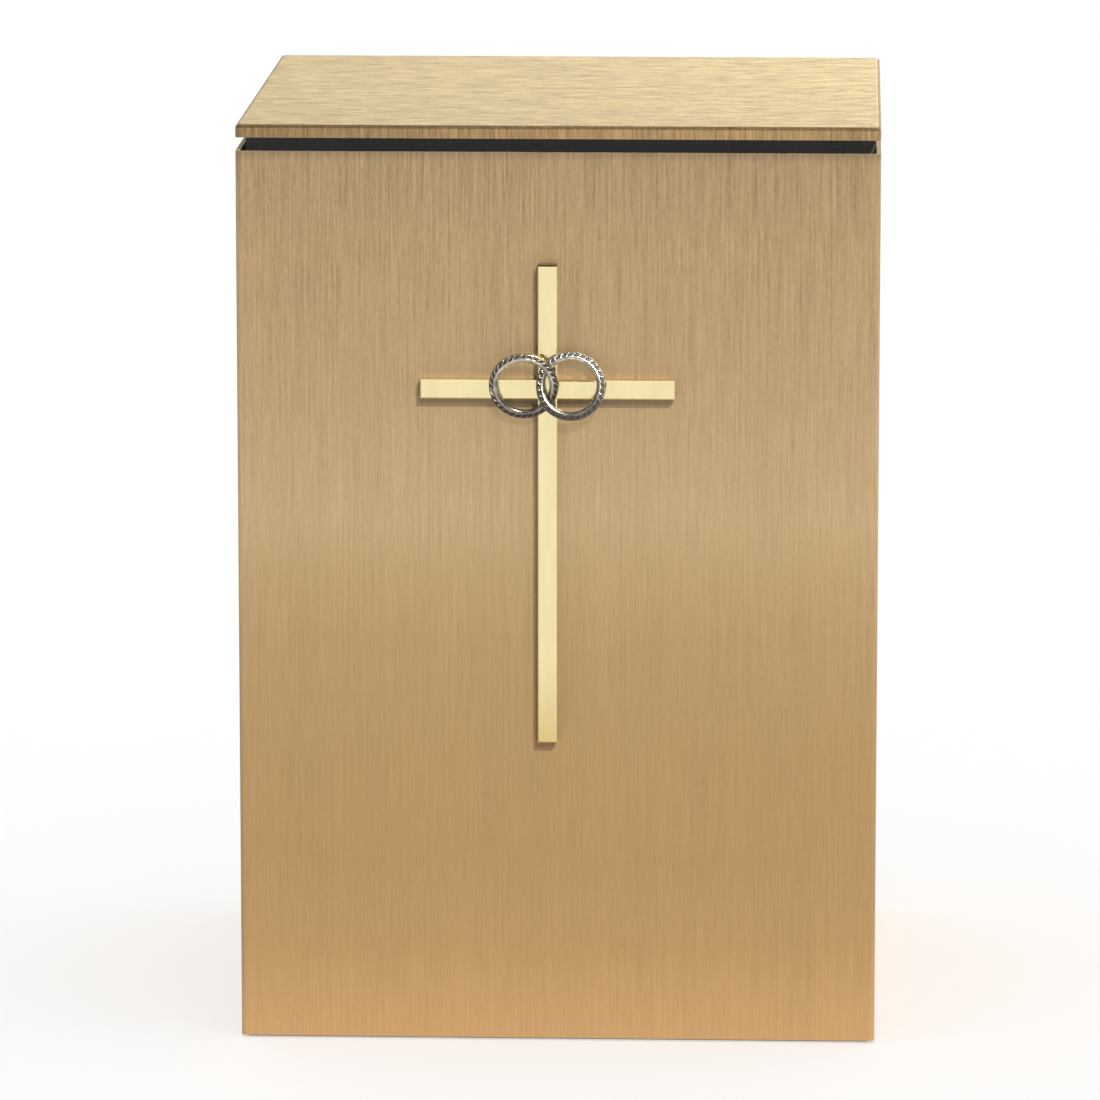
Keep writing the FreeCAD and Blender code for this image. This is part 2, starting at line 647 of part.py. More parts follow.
def make_leaf(label, low, side, indexes, bore):
    """A hinge leaf: its plate on one side of the pin, its rolls, and a strap from the plate to each roll."""
    plate_x, strap_x = {
        "left": ("( %s - leaf_wide )" % HINGE_SIDE, "( %s - %s )" % (HINGE_SIDE, LEAF_START)),
        "right": ("( %s + %s )" % (HINGE_SIDE, LEAF_START), HINGE_SIDE),
    }[side]
    rivet_x = "( %s %s rivet_out )" % (HINGE_SIDE, "-" if side == "left" else "+")
    pieces = [block("leaf_wide - " + LEAF_START, "leaf_thick", "hinge_tall", plate_x, REAR, low)]
    for index in indexes:
        level = "%s + %d * hinge_tall / %d + knuckle_space / 2" % (low, index, KNUCKLES)
        tall = "hinge_tall / %d - knuckle_space" % KNUCKLES
        pieces.append(block(LEAF_START, "leaf_thick", tall, strap_x, REAR, level))
        pieces.append(cylinder("knuckle_rad", tall, HINGE_SIDE, HINGE_BACK, level))
    tools = [cylinder(bore, "hinge_tall", HINGE_SIDE, HINGE_BACK, low)]
    for step in RIVET_STEPS:
        tools.append(cylinder("rivet_rad", "leaf_thick", rivet_x, REAR, "%s + %s" % (low, step), ALONG_Y))
    return keep(cut(fuse(pieces), fuse(tools)), label)


def make_hinges():
    """Two butt hinges on the rear face: each has a fixed leaf, a moving leaf, and a pin in the fixed leaf."""
    for place_name, low in HINGE_LOWS.items():
        make_leaf("hinge_frame_leaf_" + place_name, low, "left", range(0, KNUCKLES, 2), "hinge_pin_rad")
        running_bore = "hinge_pin_rad + hinge_play"
        make_leaf("hinge_door_leaf_" + place_name, low, "right", range(1, KNUCKLES, 2), running_bore)
        low_end = low + " + knuckle_space / 2"
        high_end = low + " + hinge_tall - knuckle_space / 2"
        shaft = cylinder("hinge_pin_rad", "hinge_tall - knuckle_space", HINGE_SIDE, HINGE_BACK, low_end)
        tips = [cone("pin_tip_rad", "hinge_pin_rad", "pin_tip_tall", HINGE_SIDE, HINGE_BACK, *end)
                for end in ((low_end, AGAINST_Z), (high_end, ALONG_Z))]
        keep(fuse([shaft] + tips), "hinge_pin_" + place_name)


def make_rivets(label, sign):
    """The four rivets that hold one side's hinge leaves."""
    rivets = []
    for up in RIVET_LEVELS:
        x = "%s %s rivet_out" % (HINGE_SIDE, sign)
        rivets.append(fuse([
            cylinder("rivet_rad", "sheet_thick + leaf_thick", x, REAR_IN, up, ALONG_Y),
            cone("rivet_head_rad", "rivet_rad", "rivet_head_tall", x, REAR + " + leaf_thick", up, ALONG_Y),
            cylinder("rivet_tail_rad", "rivet_head_tall", x, REAR_IN, up, AGAINST_Y),
        ]))
    keep(group(rivets), label)


# ---------------------------------------------------------------- lock and key

KEY_NOTCHES = 4


def make_lock_barrel():
    """Flanged barrel with two flats, through the door, bored for the plug."""
    edge = "lock_head_tall / 4"
    head = fuse([
        cylinder("lock_head_rad", "lock_head_tall - " + edge, "lock_side", REAR, DOOR_MID, ALONG_Y),
        cone("lock_head_rad", "lock_head_rad - " + edge, edge,
             "lock_side", REAR + " + lock_head_tall - " + edge, DOOR_MID, ALONG_Y),
        lock_section("0", "jamb_deep + cam_space - cam_clear", REAR),
    ])
    bore_long = "jamb_deep + cam_space + lock_head_tall"
    bore = cylinder("plug_rad + plug_play", bore_long, "lock_side", CAM_REAR, DOOR_MID, ALONG_Y)
    return keep(cut(head, bore), "lock_barrel")


def make_lock_nut():
    y = REAR_IN
    nut = hexagon("lock_nut_across", "lock_nut_tall", "lock_side", y, DOOR_MID, AGAINST_Y)
    bore = cylinder("barrel_rad", "lock_nut_tall", "lock_side", y, DOOR_MID, AGAINST_Y)
    return keep(cut(nut, bore), "lock_nut")


def make_lock_plug():
    """Plug that the key turns: a cylinder with a keyway, and a square stem for the cam."""
    length = "( %s - %s )" % (PLUG_FACE, CAM_REAR)
    solid = fuse([
        cylinder("plug_rad", length, "lock_side", CAM_REAR, DOOR_MID, ALONG_Y),
        block("stem_across", "cam_thick", "stem_across", "lock_side - stem_across / 2", CAM_FRONT,
              DOOR_MID + " - stem_across / 2"),
    ])
    keyway_low = ("lock_side - keyway_wide / 2", PLUG_FACE + " - keyway_deep",
                  DOOR_MID + " - keyway_tall / 2")
    keyway = block("keyway_wide", "keyway_deep", "keyway_tall", *keyway_low)
    return keep(cut(solid, fuse([keyway, cam_screw_shank()])), "lock_plug")


def cam_screw_shank():
    return cylinder("cam_screw_rad", "cam_thick + cam_screw_in", "lock_side", CAM_FRONT, DOOR_MID, ALONG_Y)


def make_lock_cam():
    """Flat cam on the plug's stem, hanging down when the lock is open."""
    body = new_body("LockCam")
    sketch = front_sketch(body, CAM_REAR)
    half = "cam_wide / 2"
    left, right = "lock_side - " + half, "lock_side + " + half
    rectangle(sketch, left, DOOR_MID + " - cam_long", right, DOOR_MID + " + " + half)
    stem = "stem_across / 2"
    rectangle(sketch, "lock_side - " + stem, DOOR_MID + " - " + stem,
              "lock_side + " + stem, DOOR_MID + " + " + stem)
    pad(body, sketch, "cam_thick")

    def corner(edge):
        box = edge.BoundBox
        across_only = near(box.XLength, 0) and near(box.ZLength, 0)
        return across_only and any(near(box.XMin, number(side)) for side in (left, right))

    fillet(body, corner, "cam_corner")
    return keep(body, "lock_cam")


def make_cam_screw():
    head = cylinder("cam_screw_head_rad", "cam_screw_head_tall", "lock_side", CAM_FRONT, DOOR_MID, AGAINST_Y)
    slot_low = ("lock_side - cam_screw_head_rad", CAM_FRONT + " - cam_screw_head_tall",
                DOOR_MID + " - cam_screw_slot / 2")
    slot = block("2 * cam_screw_head_rad", "cam_screw_slot", "cam_screw_slot", *slot_low)
    return keep(cut(fuse([head, cam_screw_shank()]), slot), "cam_screw")


def make_key():
    """Flat key in the keyway: a notched blade, a shoulder clear of the plug's face, and a round bow."""
    x = "lock_side - blade_wide / 2"
    blade_low = DOOR_MID + " - blade_tall / 2"
    shoulder = PLUG_FACE + " + key_clear"
    bow_mid = shoulder + " + key_neck + bow_rad"
    blade_end = PLUG_FACE + " - blade_long"
    neck_low = DOOR_MID + " - shoulder_tall / 2"
    blank = fuse([
        block("blade_wide", "blade_long + key_clear", "blade_tall", x, blade_end, blade_low),
        block("blade_wide", "key_neck + bow_rad / 2", "shoulder_tall", x, shoulder, neck_low),
        cylinder("bow_rad", "blade_wide", x, bow_mid, DOOR_MID, ALONG_X),
    ])
    tools = [cylinder("bow_hole_rad", "blade_wide", x, bow_mid + " + bow_rad / 3", DOOR_MID, ALONG_X)]
    for index in range(KEY_NOTCHES):
        notch_y = "%s + %d * blade_long / %d" % (blade_end, index + 1, KEY_NOTCHES + 2)
        tools.append(block("blade_wide", "notch_wide", "notch_tall", x, notch_y, blade_low))
    return keep(cut(blank, fuse(tools)), "key")


# ---------------------------------------------------------------- build, check and write

make_body_shell()
make_back_frame()
make_base_tray()
make_base_pad()
make_lid_pan()
make_inner_collar()
make_throat_plate()
make_lid_fixings()
make_collar_fixings()
make_cross()
make_cross_fixings()
make_bands()
make_access_door()
make_hinges()
make_rivets("hinge_rivets_frame", "-")
make_rivets("hinge_rivets_door", "+")
make_lock_barrel()
make_lock_nut()
make_lock_plug()
make_lock_cam()
make_cam_screw()
make_key()
doc.recompute()

for item in doc.Objects:
    if "Invalid" in item.State or "Error" in item.State:
        raise RuntimeError("%s (%s) failed: %s" % (item.Name, item.Label, item.State))
for node in NODES:
    if node.Shape.isNull() or not node.Shape.isValid() or not node.Shape.Solids:
        raise RuntimeError("%s has no valid solid" % node.Label)

os.makedirs("parts", exist_ok=True)
for node in NODES:
    node.Shape.exportStep("parts/%s.step" % node.Label)
    print("%-26s solids %2d  volume %10.1f mm3" % (node.Label, len(node.Shape.Solids), node.Shape.Volume))
print(len(NODES), "sub-parts")
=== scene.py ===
"""A bronze donation box on a pale floor: its finishes, the chased wedding bands, the light and the camera.

Metres, in the frame of the CAD part: the front faces -Y and +Z is up."""

import math

import bpy
import numpy as np
from mathutils import Matrix, Vector


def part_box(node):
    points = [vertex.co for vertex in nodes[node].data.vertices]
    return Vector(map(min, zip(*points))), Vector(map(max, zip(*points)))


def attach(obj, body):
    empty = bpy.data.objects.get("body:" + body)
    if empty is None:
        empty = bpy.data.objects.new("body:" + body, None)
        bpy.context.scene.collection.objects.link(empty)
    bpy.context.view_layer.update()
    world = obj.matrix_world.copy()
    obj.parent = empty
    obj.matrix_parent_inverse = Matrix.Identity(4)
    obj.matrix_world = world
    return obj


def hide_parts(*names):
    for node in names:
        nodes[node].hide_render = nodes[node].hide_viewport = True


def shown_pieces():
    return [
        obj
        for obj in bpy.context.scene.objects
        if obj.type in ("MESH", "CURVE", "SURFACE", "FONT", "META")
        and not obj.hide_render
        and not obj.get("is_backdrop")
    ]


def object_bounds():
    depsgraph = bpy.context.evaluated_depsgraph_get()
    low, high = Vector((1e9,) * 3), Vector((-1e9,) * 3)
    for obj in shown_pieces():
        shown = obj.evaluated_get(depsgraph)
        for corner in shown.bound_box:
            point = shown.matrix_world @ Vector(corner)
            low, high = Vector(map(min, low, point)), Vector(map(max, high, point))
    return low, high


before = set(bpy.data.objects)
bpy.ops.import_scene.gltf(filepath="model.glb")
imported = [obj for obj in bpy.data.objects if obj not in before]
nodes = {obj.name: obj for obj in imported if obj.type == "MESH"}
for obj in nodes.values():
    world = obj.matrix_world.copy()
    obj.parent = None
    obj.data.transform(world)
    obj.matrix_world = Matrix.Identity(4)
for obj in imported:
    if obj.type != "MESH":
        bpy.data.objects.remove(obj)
cad_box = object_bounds()

MM = 0.001
TALL = cad_box[1].z
LID_LOW, LID_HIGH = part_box("lid_pan")
CROSS_LOW, CROSS_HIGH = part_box("cross")
BANDS_MIDDLE = sum(corner.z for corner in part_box("ring_left")) / 2


# ---------------------------------------------------------------- building materials from nodes


def tone(red, green, blue):
    return (red, green, blue, 1.0)


class Finish:
    """A material built from nodes around one Principled shader."""

    def __init__(self, name, **constants):
        self.material = bpy.data.materials.new(name)
        self.material.use_nodes = True
        self.tree = self.material.node_tree
        self.shader = self.tree.nodes["Principled BSDF"]
        for socket, value in constants.items():
            self.shader.inputs[socket.replace("_", " ")].default_value = value
        self.place = self.add("ShaderNodeTexCoord").outputs["Object"]

    def add(self, kind, **settings):
        node = self.tree.nodes.new(kind)
        for key, value in settings.items():
            setattr(node, key, value)
        return node

    def feed(self, socket, value):
        """Links a node's output to the socket, or sets a plain value on it."""
        if isinstance(value, bpy.types.NodeSocket):
            self.tree.links.new(value, socket)
        elif value is not None:
            socket.default_value = value

    def math(self, operation, first, second=None, third=None):
        node = self.add("ShaderNodeMath", operation=operation)
        for socket, value in zip(node.inputs, (first, second, third)):
            self.feed(socket, value)
        return node.outputs[0]

    def vector(self, operation, first, second):
        node = self.add("ShaderNodeVectorMath", operation=operation)
        self.feed(node.inputs[0], first)
        self.feed(node.inputs[1], second)
        return node.outputs[0]

    def parts(self, vector):
        node = self.add("ShaderNodeSeparateXYZ")
        self.feed(node.inputs[0], vector)
        return node.outputs

    def noise(self, stretch, detail=2.0, rough=0.5, waver=0.0):
        """Noise whose cells number stretch per metre along x, y and z."""
        node = self.add("ShaderNodeTexNoise")
        self.feed(node.inputs["Vector"], self.vector("MULTIPLY", self.place, stretch))
        self.feed(node.inputs["Scale"], 1.0)
        self.feed(node.inputs["Detail"], detail)
        self.feed(node.inputs["Roughness"], rough)
        self.feed(node.inputs["Distortion"], waver)
        return node.outputs["Fac"]

    def even_noise(self, cells, detail=2.0, rough=0.5, waver=0.0):
        """Noise with that many cells per metre in every direction."""
        return self.noise((cells, cells, cells), detail, rough, waver)

    def swing(self, noise, amount, middle):
        """A number that swings about middle as the noise does about a half."""
        return self.math("MULTIPLY_ADD", self.math("SUBTRACT", noise, 0.5), amount, middle)

    def weighted(self, *terms):
        """The sum of outputs, each given with its weight."""
        total = 0.0
        for output, weight in terms:
            total = self.math("MULTIPLY_ADD", output, weight, total)
        return total

    def span(self, value, low, high, to_low=0.0, to_high=1.0, smooth=False):
        """Maps low..high to to_low..to_high, held at both ends."""
        node = self.add("ShaderNodeMapRange")
        node.interpolation_type = "SMOOTHSTEP" if smooth else "LINEAR"
        for socket, number in zip(node.inputs, (value, low, high, to_low, to_high)):
            self.feed(socket, number)
        return node.outputs[0]

    def mix(self, amount, first, second):
        """Blends two numbers."""
        node = self.add("ShaderNodeMix", data_type="FLOAT")
        for socket, value in zip((node.inputs[0], node.inputs[2], node.inputs[3]), (amount, first, second)):
            self.feed(socket, value)
        return node.outputs[0]

    def mix_colour(self, amount, first, second, blend="MIX"):
        node = self.add("ShaderNodeMix", data_type="RGBA", blend_type=blend)
        for socket, value in zip((node.inputs[0], node.inputs[6], node.inputs[7]), (amount, first, second)):
            self.feed(socket, value)
        return node.outputs[2]

    def mix_vector(self, amount, first, second):
        node = self.add("ShaderNodeMix", data_type="VECTOR")
        for socket, value in zip((node.inputs[0], node.inputs[4], node.inputs[5]), (amount, first, second)):
            self.feed(socket, value)
        return node.outputs[1]

    def scaled(self, colour, factor):
        """A colour times a number."""
        node = self.add("ShaderNodeVectorMath", operation="SCALE")
        self.feed(node.inputs[0], colour[:3] if isinstance(colour, tuple) else colour)
        self.feed(node.inputs["Scale"], factor)
        return node.outputs[0]

    def bump(self, height, depth, strength=1.0):
        node = self.add("ShaderNodeBump")
        self.feed(node.inputs["Strength"], strength)
        self.feed(node.inputs["Distance"], depth)
        self.feed(node.inputs["Height"], height)
        self.feed(self.shader.inputs["Normal"], node.outputs[0])

    def colour(self, value):
        self.feed(self.shader.inputs["Base Color"], value)

    def roughness(self, value):
        self.feed(self.shader.inputs["Roughness"], value)


# ---------------------------------------------------------------- the finishes

BRONZE = tone(0.292, 0.197, 0.1005)
BRASS = tone(0.90, 0.77, 0.44)
SILVER = tone(0.48, 0.44, 0.36)
PATINA = tone(0.055, 0.048, 0.038)
# the dark painted on the cross's top end face as a painted reflection
TOP_END_PAINTED_DARK = tone(0.05, 0.03, 0.012)

# painted reflection and shade up the walls and the lid's lip, lighter at the foot and in a band part way up,
# darkest at the walls' top edge and on the lip: height in millimetres, then red, green and blue
WALL_PAINTED_LIGHT = [
    (0, 1.24, 1.09, 0.88), (14, 1.15, 1.02, 0.84), (34, 1.00, 0.89, 0.72), (62, 0.92, 0.845, 0.69),
    (100, 0.91, 0.85, 0.71), (140, 0.94, 0.90, 0.80), (182, 1.05, 1.09, 1.08), (232, 0.94, 0.95, 0.94),
    (270, 0.88, 0.89, 0.86), (302, 0.78, 0.79, 0.77), (304, 0.62, 0.62, 0.66), (309, 0.61, 0.575, 0.51),
    (314, 0.61, 0.575, 0.51),
]
# the largest value in the painted reflection and shade table
PAINTED_LIGHT_TOP = 1.25
# painted light on flat faces, made for the lid's top: lighter and paler than the walls
LID_PAINTED_LIGHT = tone(1.11, 1.28, 1.33)

# how far the grain shows: evenly on all the walls, more added from one height to the other, most on the lip
WALL_GRAIN, WALL_GRAIN_ADDED, WALL_GRAIN_CURVE = 0.6, 1.3, 1.8
GRAIN_FROM, GRAIN_TO = 100 * MM, 300 * MM
LIP_GRAIN = 2.7
LIP_FROM, LIP_TO = 304 * MM, 306 * MM
LID_GRAIN = 1.75
# how tall the cross's foot is, where a painted reflection darkens the brass to a deeper yellow, and how far
# below the cross's top a painted dark reflection starts and is full on its top end face
FOOT_TALL = 45 * MM
TOP_DARK_FROM, TOP_DARK_TO = 0.55 * MM, 0.35 * MM
# below and above the middle of the bands, where painted shade is deepest and where it ends: the lower arcs
# are painted darker
PAINTED_SHADE_BELOW, PAINTED_SHADE_ABOVE = 9 * MM, 5 * MM


def painted_light_up_walls(f, height):
    """The painted reflection and shade at a height. A ramp holds no more than 1, so the table is scaled down
    for it, and up again.
    """
    ramp = f.add("ShaderNodeValToRGB")
    f.feed(ramp.inputs[0], f.span(height, 0.0, TALL))
    stops = ramp.color_ramp.elements
    while len(stops) < len(WALL_PAINTED_LIGHT):
        stops.new(0.5)
    for stop, (up, red, green, blue) in zip(stops, WALL_PAINTED_LIGHT):
        stop.position = up * MM / TALL
    for stop, (up, red, green, blue) in zip(stops, WALL_PAINTED_LIGHT):
        stop.color = tone(red / PAINTED_LIGHT_TOP, green / PAINTED_LIGHT_TOP, blue / PAINTED_LIGHT_TOP)
    return f.scaled(ramp.outputs[0], PAINTED_LIGHT_TOP)


def satin_bronze():
    """Bronze sheet under clear lacquer: brushed upright on the walls, and from side to side on top faces.

    level is 1 on top and bottom faces and 0 on the walls; fold is 1 on the rounded folds between them."""
    f = Finish("satin_bronze", Metallic=0.45, Anisotropic=0.6, Specular_IOR_Level=0.4)
    height = f.parts(f.place)[2]
    flatness = f.math("ABSOLUTE", f.parts(f.add("ShaderNodeTexCoord").outputs["Normal"])[2])
    level = f.span(flatness, 0.86, 0.98, smooth=True)
    fold = f.math("MULTIPLY", f.span(flatness, 0.1, 0.35, smooth=True), f.math("SUBTRACT", 1.0, level))

    # upright grain: hair lines, long streaks and short nicks
    hair = f.noise((1500.0, 1500.0, 60.0), 2.0, 0.6)
    streak = f.noise((1000.0, 1000.0, 18.0), 2.0, 0.55)
    nick = f.noise((1600.0, 1600.0, 360.0), 1.0)
    upright = f.weighted((hair, 0.4), (streak, 0.4), (nick, 0.2))

    # wavy grain along x
    wave = f.noise((110.0, 400.0, 400.0), 1.5, 0.5, 0.4)
    fine = f.noise((420.0, 1100.0, 1100.0), 2.0, 0.55, 0.4)
    along = f.weighted((wave, 0.6), (fine, 0.4))
    grain = f.mix(level, upright, along)

    # the grain and a broad cloudiness lighten and darken the metal
    climb = f.math("POWER", f.span(height, GRAIN_FROM, GRAIN_TO), WALL_GRAIN_CURVE)
    depth = f.math("MULTIPLY_ADD", climb, WALL_GRAIN_ADDED, WALL_GRAIN)
    depth = f.mix(f.span(height, LIP_FROM, LIP_TO), depth, LIP_GRAIN)
    lift = f.swing(grain, f.mix(level, depth, LID_GRAIN), 1.0)
    cloud = f.noise((90.0, 90.0, 2.5), 1.0)
    lift = f.swing(cloud, 0.08, lift)

    # the painted reflection and shade go on top, with painted light on flat faces; the folds get painted
    # shade, darker, and are rougher
    wall = f.scaled(painted_light_up_walls(f, height), f.math("MULTIPLY_ADD", fold, -0.45, 1.0))
    painted_light_colour = f.mix_colour(level, wall, LID_PAINTED_LIGHT)
    f.colour(f.mix_colour(1.0, f.scaled(BRONZE, lift), painted_light_colour, "MULTIPLY"))
    f.roughness(f.math("MULTIPLY_ADD", fold, 0.45, f.swing(grain, 0.25, 0.40)))
    f.bump(grain, f.mix(fold, 0.06 * MM, 0.0), 0.6)

    # the gloss spreads across the grain
    normal = f.add("ShaderNodeNewGeometry").outputs["Normal"]
    grain_way = f.mix_vector(level, (0.0, 0.0, 1.0), (1.0, 0.0, 0.0))
    f.feed(f.shader.inputs["Tangent"], f.vector("CROSS_PRODUCT", normal, grain_way))
    return f.material


def polished_brass(name="polished_brass", low=None, high=None):
    """Brass; between the heights low and high, a painted reflection darkens its foot to a deeper yellow and a
    painted dark reflection covers its top end face.
    """
    f = Finish(name, Metallic=1.0)
    rub = f.noise((240.0, 240.0, 60.0), 3.0, 0.6)
    line = f.noise((1900.0, 1900.0, 90.0), 2.0)
    brass = f.scaled(BRASS, f.span(rub, 0.3, 0.7, 0.95, 1.03))
    if low is not None:
        height = f.parts(f.place)[2]
        # painted reflection: the foot is darkened to a deeper yellow
        foot = f.math("POWER", f.span(height, low + FOOT_TALL, low), 2.0)
        brass = f.mix_colour(foot, brass, f.vector("MULTIPLY", brass, (0.82, 0.74, 0.54)))
        # painted dark reflection on the cross's top end face and its edge
        brass = f.mix_colour(f.span(height, high - TOP_DARK_FROM, high - TOP_DARK_TO), brass, TOP_END_PAINTED_DARK)
    f.colour(brass)
    f.roughness(f.math("MULTIPLY_ADD", line, 0.10, 0.12))
    f.bump(rub, 0.03 * MM, 0.3)
    return f.material


def antique_silver():
    """Silver with a dark patina left in the chased recesses, and painted shade towards the bands' lower arcs;
    the relief attribute is 0 in the recesses and 1 on top.
    """
    f = Finish("antique_silver", Metallic=1.0)
    relief = f.add("ShaderNodeAttribute", attribute_name="relief").outputs["Fac"]
    mottle = f.even_noise(1500.0, 3.0, 0.6)
    clean = f.span(f.swing(mottle, 0.5, relief), 0.30, 0.90, smooth=True)
    tarnish = f.even_noise(420.0, 2.0, 0.6)
    height = f.parts(f.place)[2]
    # painted shade: the silver darkens from above the bands' middle down to below it
    painted_shade_low = f.span(height, BANDS_MIDDLE - PAINTED_SHADE_BELOW, BANDS_MIDDLE + PAINTED_SHADE_ABOVE, 0.42, 1.0)
    bright = f.scaled(SILVER, f.math("MULTIPLY", painted_shade_low, f.span(tarnish, 0.36, 0.62, 0.5, 1.0)))
    f.colour(f.mix_colour(clean, PATINA, bright))
    f.roughness(f.span(clean, 0.0, 1.0, 0.5, 0.22))
    f.bump(mottle, 0.03 * MM, 0.4)
    return f.material


def black_coat():
    f = Finish("black_coat", Metallic=0.0, Specular_IOR_Level=0.35)
    grit = f.even_noise(2200.0)
    cloud = f.even_noise(60.0)
    f.colour(f.scaled(tone(0.030, 0.028, 0.026), f.span(cloud, 0.3, 0.7, 0.85, 1.15)))
    f.roughness(f.span(grit, 0.3, 0.7, 0.45, 0.65))
    f.bump(grit, 0.08 * MM, 0.5)
    return f.material


def zinc_steel():
    """Zinc plate: crystals of slightly different greys under a soft cloud of roughness."""
    f = Finish("zinc_steel", Metallic=1.0)
    cells = f.add("ShaderNodeTexVoronoi", feature="F1")
    f.feed(cells.inputs["Vector"], f.vector("MULTIPLY", f.place, (260.0, 260.0, 260.0)))
    f.feed(cells.inputs["Scale"], 1.0)
    crystal = f.parts(cells.outputs["Color"])[0]
    cloud = f.even_noise(45.0, 3.0)
    f.colour(f.scaled(tone(0.60, 0.61, 0.62), f.math("MULTIPLY_ADD", crystal, 0.16, 0.86)))
    f.roughness(f.math("MULTIPLY_ADD", cloud, 0.25, f.math("MULTIPLY", crystal, 0.1)))
    f.bump(cloud, 0.05 * MM, 0.3)
    return f.material


def nickel_plate():
    f = Finish("nickel_plate", Metallic=1.0)
    rub = f.even_noise(500.0, 3.0, 0.65)
    scratch = f.noise((3500.0, 260.0, 3500.0), 2.0)
    f.colour(f.scaled(tone(0.58, 0.555, 0.51), f.span(rub, 0.3, 0.7, 0.92, 1.05)))
    f.roughness(f.math("MULTIPLY_ADD", scratch, 0.22, 0.16))
    f.bump(rub, 0.02 * MM, 0.3)
    return f.material


def felt():
    f = Finish("felt", Metallic=0.0, Roughness=0.95, Sheen_Weight=0.35, Sheen_Roughness=0.6)
    fibre = f.even_noise(2600.0, 4.0, 0.7, 0.8)
    patch = f.even_noise(120.0, 3.0)
    f.colour(f.scaled(tone(0.028, 0.032, 0.026), f.weighted((patch, 0.9), (fibre, 0.9))))
    f.bump(fibre, 0.25 * MM, 0.8)
    return f.material


FINISHES = {
    "satin_bronze": satin_bronze(), "polished_brass": polished_brass(), "antique_silver": antique_silver(),
    "black_coat": black_coat(), "zinc_steel": zinc_steel(), "nickel_plate": nickel_plate(), "felt": felt(),
}
for node in nodes.values():
    for index, material in enumerate(node.data.materials):
        node.data.materials[index] = FINISHES[material.name.split(".")[0]]
cross_brass = polished_brass("cross_brass", CROSS_LOW.z, CROSS_HIGH.z)
for index in range(len(nodes["cross"].data.materials)):
    nodes["cross"].data.materials[index] = cross_brass


# ---------------------------------------------------------------- chased wedding bands

# the band's section: a rounded square, chased on the outside as far round as FIELD_EDGE each way
HALF_WIDE = 1.0 * MM
BORE_RAD = 8.7 * MM
SQUARENESS = 0.8
FIELD_EDGE = math.radians(93.0)
OUTSIDE_STEPS = 32
INSIDE_STEPS = 16
LEAN = math.radians(14.0)

# the pattern: across the field, 0 is the middle and 1 the edge; along it, lengths are in motifs
MOTIFS = 32
STEPS_PER_MOTIF = 16
RELIEF_DEEP = 0.38 * MM
FADE_WIDE = 0.12
RIB_EDGE = 0.30
RIB_SLOPE = 0.06
LEAF_SLANT = math.radians(40.0)
LEAF_MIDDLE = 0.34
LEAF_SHRINK_ALONG = 2.25
LEAF_SHRINK_ACROSS = 2.3
LEAF_HALF_LONG = 1.15
LEAF_HALF_WIDE = 0.36
LEAF_FLATNESS = 0.45
RIB_SHEEN = 0.5


def squared(value):
    """A sine or cosine pushed outwards, which turns a circle into a rounded square."""
    return math.copysign(abs(value) ** SQUARENESS, value)


def band_profile(outer):
    """Outline of the band's section: radius, place across, and place in the chased field (-1..1) or None."""
    middle, half = (outer + BORE_RAD) / 2, (outer - BORE_RAD) / 2
    places = [(-1.0 + 2.0 * step / OUTSIDE_STEPS) for step in range(OUTSIDE_STEPS + 1)]
    turns = [(across * FIELD_EDGE, across) for across in places]
    inside = 2 * math.pi - 2 * FIELD_EDGE
    turns += [(FIELD_EDGE + inside * step / INSIDE_STEPS, None) for step in range(1, INSIDE_STEPS)]
    return [
        (middle + half * squared(math.cos(turn)), HALF_WIDE * squared(math.sin(turn)), across)
        for turn, across in turns
    ]


def leaf_height(along, across):
    """Height 0..1 of a plain rib with a row of slanting leaves on each side of it; along counts motifs."""
    beyond = abs(across) - RIB_EDGE
    height = max(0.0, 1.0 - max(0.0, beyond) / RIB_SLOPE)
    for shift in (-1, 0, 1):
        a = (along - 0.5 - shift) * LEAF_SHRINK_ALONG
        b = (beyond - LEAF_MIDDLE) * LEAF_SHRINK_ACROSS
        lengthwise = a * math.cos(LEAF_SLANT) + b * math.sin(LEAF_SLANT)
        crosswise = -a * math.sin(LEAF_SLANT) + b * math.cos(LEAF_SLANT)
        breadth = LEAF_HALF_WIDE * (1.0 - (lengthwise / LEAF_HALF_LONG) ** 2)
        if breadth > abs(crosswise):
            height = max(height, (1.0 - (crosswise / breadth) ** 2) ** LEAF_FLATNESS)
    return height


def band_vertices(profile):
    """The band about the y axis with its chased field, and the relief (0 sunk, 1 on top) at each vertex."""
    rows = MOTIFS * STEPS_PER_MOTIF
    cell = [
        [leaf_height((step + 0.5) / STEPS_PER_MOTIF, across) if across is not None else 1.0
         for _, _, across in profile]
        for step in range(STEPS_PER_MOTIF)
    ]
    vertices, relief = [], []
    for row in range(rows):
        angle = 2 * math.pi * row / rows
        for (radius, place, across), height in zip(profile, cell[row % STEPS_PER_MOTIF]):
            if across is not None:
                fade = min(1.0, (1.0 - abs(across)) / FADE_WIDE)
                sink = RELIEF_DEEP * (1.0 - height) * fade
                radius -= sink * math.cos(across * FIELD_EDGE)
                place -= sink * math.sin(across * FIELD_EDGE)
                height = max(height, 1.0 - fade) * (RIB_SHEEN + (1.0 - RIB_SHEEN) * abs(across))
            vertices.append((radius * math.cos(angle), place, radius * math.sin(angle)))
            relief.append(height)
    return vertices, relief


def ring_faces(rows, count):
    """Quads round a closed ring of rows, each a closed outline of count vertices."""
    faces = []
    for row in range(rows):
        here, following = row * count, (row + 1) % rows * count
        for point in range(count):
            beside = (point + 1) % count
            faces.append((here + point, here + beside, following + beside, following + point))
    return faces


